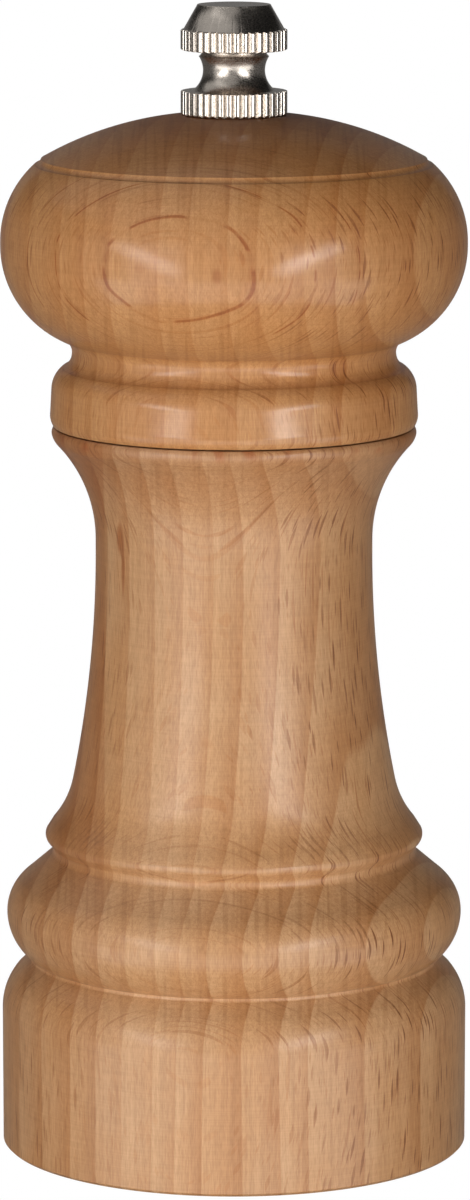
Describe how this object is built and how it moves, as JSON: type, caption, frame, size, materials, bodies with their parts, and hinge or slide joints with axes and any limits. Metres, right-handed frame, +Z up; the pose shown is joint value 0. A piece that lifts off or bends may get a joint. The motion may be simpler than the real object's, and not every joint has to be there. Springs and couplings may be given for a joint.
{
  "type": "pepper mill",
  "caption": "Turned wooden pepper mill with a rounded head, knurled metal top nut, square drive shaft and a burr mechanism held by a bridge in the base.",
  "frame": {"origin": "centre of the base, on the plane that the mill stands on", "axes": "+Z up along the turning axis from the base to the top nut; +X along the bridge under the base; -Y is the front"},
  "size_m": [0.0621, 0.062, 0.1524],
  "materials": {
    "wood_body": "satin lacquered beech",
    "wood_head": "satin lacquered beech",
    "nickel": "polished nickel plate",
    "nylon": "natural nylon",
    "aluminium": "drawn aluminium",
    "zinc_steel": "zinc plated steel",
    "burr_steel": "hardened dark steel",
    "spring_steel": "bright spring wire",
    "brass": "turned brass"
  },
  "bodies": {
    "body": {"mill_body": "wood_body", "stator_burr": "burr_steel", "burr_spring": "spring_steel", "bridge": "zinc_steel", "bridge_bushing": "brass", "bridge_screw_left": "zinc_steel", "bridge_screw_right": "zinc_steel"},
    "glide": {"glide_washer": "nylon"},
    "head": {"mill_head": "wood_head", "drive_plate": "zinc_steel", "drive_plate_screw_left": "zinc_steel", "drive_plate_screw_right": "zinc_steel"},
    "nut": {"top_nut": "nickel", "nut_lock_insert": "nylon"},
    "thrust": {"thrust_washer": "zinc_steel"},
    "shaft": {"drive_shaft": "aluminium", "rotor_burr": "burr_steel", "rotor_upper_clip": "spring_steel", "rotor_lower_clip": "spring_steel"}
  },
  "joints": [
    {"name": "head_turn", "type": "hinge", "parent": "body", "child": "glide", "pos_m": [0, 0, 0.0968], "axis": [0, 0, 1], "continuous": true},
    {"name": "head_lift", "type": "slide", "parent": "glide", "child": "head", "axis": [0, 0, 1], "range_m": [0, 0.07]},
    {"name": "nut_turn", "type": "hinge", "parent": "head", "child": "nut", "pos_m": [0, 0, 0.138], "axis": [0, 0, 1], "range_deg": [0, 540]},
    {"name": "shaft_drop", "type": "slide", "parent": "body", "child": "thrust", "axis": [0, 0, -1], "range_m": [0, 0.0012], "deforming": ["burr_spring"]},
    {"name": "shaft_turn", "type": "hinge", "parent": "thrust", "child": "shaft", "pos_m": [0, 0, 0.0118], "axis": [0, 0, 1], "continuous": true}
  ],
  "couplings": [
    {"joint": "shaft_turn", "follows": "head_turn", "ratio": 1},
    {"joint": "shaft_drop", "follows": "nut_turn", "m_per_rad": 0.00012732}
  ]
}
